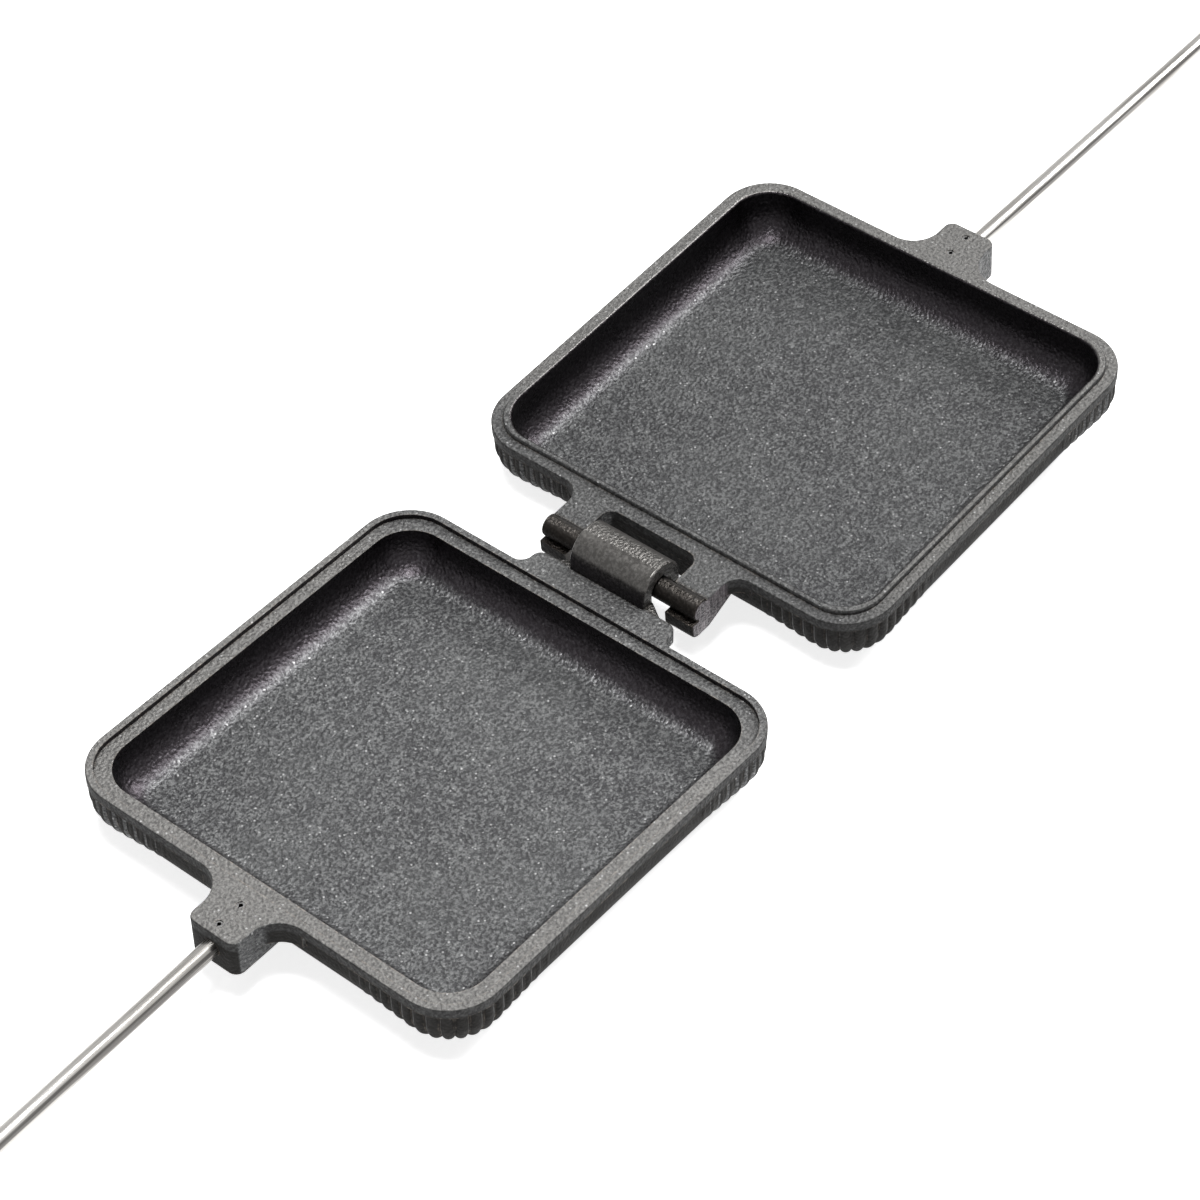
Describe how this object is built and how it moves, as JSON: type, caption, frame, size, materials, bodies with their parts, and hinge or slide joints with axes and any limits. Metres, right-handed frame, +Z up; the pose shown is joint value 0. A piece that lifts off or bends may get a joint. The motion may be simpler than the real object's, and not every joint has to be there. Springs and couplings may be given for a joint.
{
  "type": "pie iron",
  "caption": "Square cast-iron pie iron laid open: two hollow pans hinged by a hook and bar, each on a long steel rod with a turned wooden grip.",
  "frame": {"origin": "on the floor below the hinge line, halfway between the two grips' ends", "axes": "+X along the handles towards the bar half, +Y along the hinge line, +Z up"},
  "size_m": [1.4276, 0.123, 0.0274],
  "materials": {
    "seasoned_iron": "sand-cast iron with baked-on seasoning, fine stipple, worn rim edges",
    "bright_steel": "bright drawn and plated steel rod",
    "spring_steel": "plain rolled spring steel",
    "zinc_steel": "zinc-plated turned steel",
    "hardwood": "turned hardwood under a satin varnish"
  },
  "bodies": {
    "hook_half": {"hook_pan": "seasoned_iron", "hook_rod": "bright_steel", "hook_rod_pins": "spring_steel", "hook_grip_collar": "zinc_steel", "hook_grip": "hardwood", "hook_grip_washer": "zinc_steel", "hook_grip_nut": "zinc_steel"},
    "bar_half": {"bar_pan": "seasoned_iron", "bar_rod": "bright_steel", "bar_rod_pins": "spring_steel", "bar_grip_collar": "zinc_steel", "bar_grip": "hardwood", "bar_grip_washer": "zinc_steel", "bar_grip_nut": "zinc_steel"}
  },
  "joints": [
    {"name": "hinge", "type": "hinge", "parent": "hook_half", "child": "bar_half", "pos_m": [0, 0, 0.0169], "axis": [0, -1, 0], "range_deg": [-4.19, 175.81]}
  ]
}
